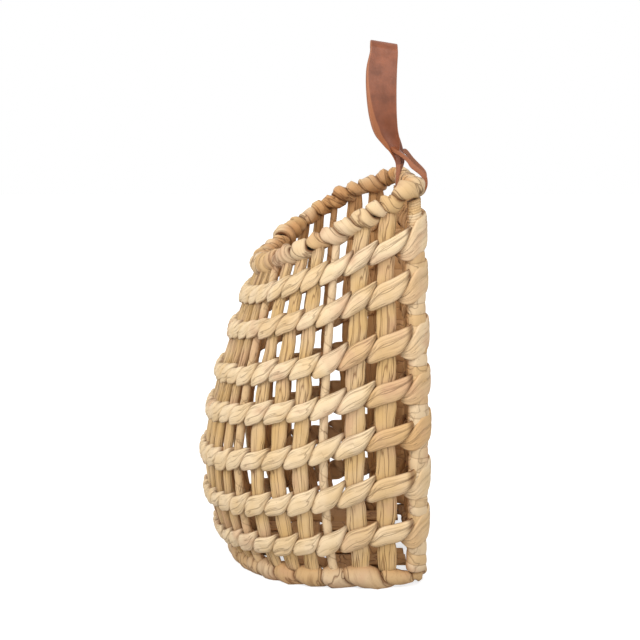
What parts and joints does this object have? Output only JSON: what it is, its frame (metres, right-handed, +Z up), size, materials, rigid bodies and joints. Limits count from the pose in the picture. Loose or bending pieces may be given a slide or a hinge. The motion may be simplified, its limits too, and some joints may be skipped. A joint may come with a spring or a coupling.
{
  "type": "hanging wall basket",
  "caption": "Tall openwork wall basket with a flat back and bulging front, woven from flat plant stems, with a sloping wrapped rim and a leather loop strap hitched to its back rod.",
  "frame": {"origin": "on the ground, under the middle of the back base border, in the plane of the back wall's middle", "axes": "+Z up, +Y to the flat back (the wall it hangs on), -Y to the round front, +X to the side that the picture shows"},
  "size_m": [0.2702, 0.2018, 0.4535],
  "materials": {
    "stem": "matte dried plant stem",
    "weaving_strip": "matte dried plant stem",
    "border_strip": "matte dried plant stem",
    "floor_strip": "matte dried plant stem",
    "wire": "plain wire",
    "leather": "satin brown leather"
  },
  "bodies": {
    "basket": {"base_wire": "wire", "base_wrap": "border_strip", "floor_strip_cross_1": "floor_strip", "floor_strip_cross_2": "floor_strip", "floor_strip_cross_3": "floor_strip", "floor_strip_cross_4": "floor_strip", "floor_strip_long_1": "floor_strip", "floor_strip_long_2": "floor_strip", "floor_strip_long_3": "floor_strip", "floor_strip_long_4": "floor_strip", "floor_strip_long_5": "floor_strip", "rim_wire": "wire", "rim_wrap": "border_strip", "rod_corner_left": "stem", "rod_corner_right": "stem", "rod_front_left": "stem", "rod_front_right": "stem", "rod_middle_left": "stem", "rod_middle_right": "stem", "row_1_strip_a": "weaving_strip", "row_1_strip_b": "weaving_strip", "row_2_strip_a": "weaving_strip", "row_2_strip_b": "weaving_strip", "row_3_strip_a": "weaving_strip", "row_3_strip_b": "weaving_strip", "row_4_strip_a": "weaving_strip", "row_4_strip_b": "weaving_strip", "row_5_strip_a": "weaving_strip", "row_5_strip_b": "weaving_strip", "row_6_strip_a": "weaving_strip", "row_6_strip_b": "weaving_strip", "row_7_strip_a": "weaving_strip", "row_7_strip_b": "weaving_strip", "stake_back_1_left": "stem", "stake_back_1_right": "stem", "stake_back_2_left": "stem", "stake_back_2_right": "stem", "stake_back_3_left": "stem", "stake_back_3_right": "stem", "stake_front_1_left": "stem", "stake_front_1_right": "stem", "stake_front_2_left": "stem", "stake_front_2_right": "stem", "stake_front_3_left": "stem", "stake_front_3_right": "stem", "stake_front_4_left": "stem", "stake_front_4_right": "stem", "stake_front_5_left": "stem", "stake_front_5_right": "stem", "stake_side_4_left": "stem", "stake_side_4_right": "stem", "stake_side_5_left": "stem", "stake_side_5_right": "stem", "stake_side_6_left": "stem", "stake_side_6_right": "stem", "stake_side_7_left": "stem", "stake_side_7_right": "stem", "stake_side_8_left": "stem", "stake_side_8_right": "stem"},
    "strap": {"strap": "leather"}
  },
  "joints": [
    {"name": "strap_swing", "type": "hinge", "parent": "basket", "child": "strap", "pos_m": [0, -0.0055, 0.3315], "axis": [1, 0, 0], "range_deg": [-75, 120]}
  ]
}
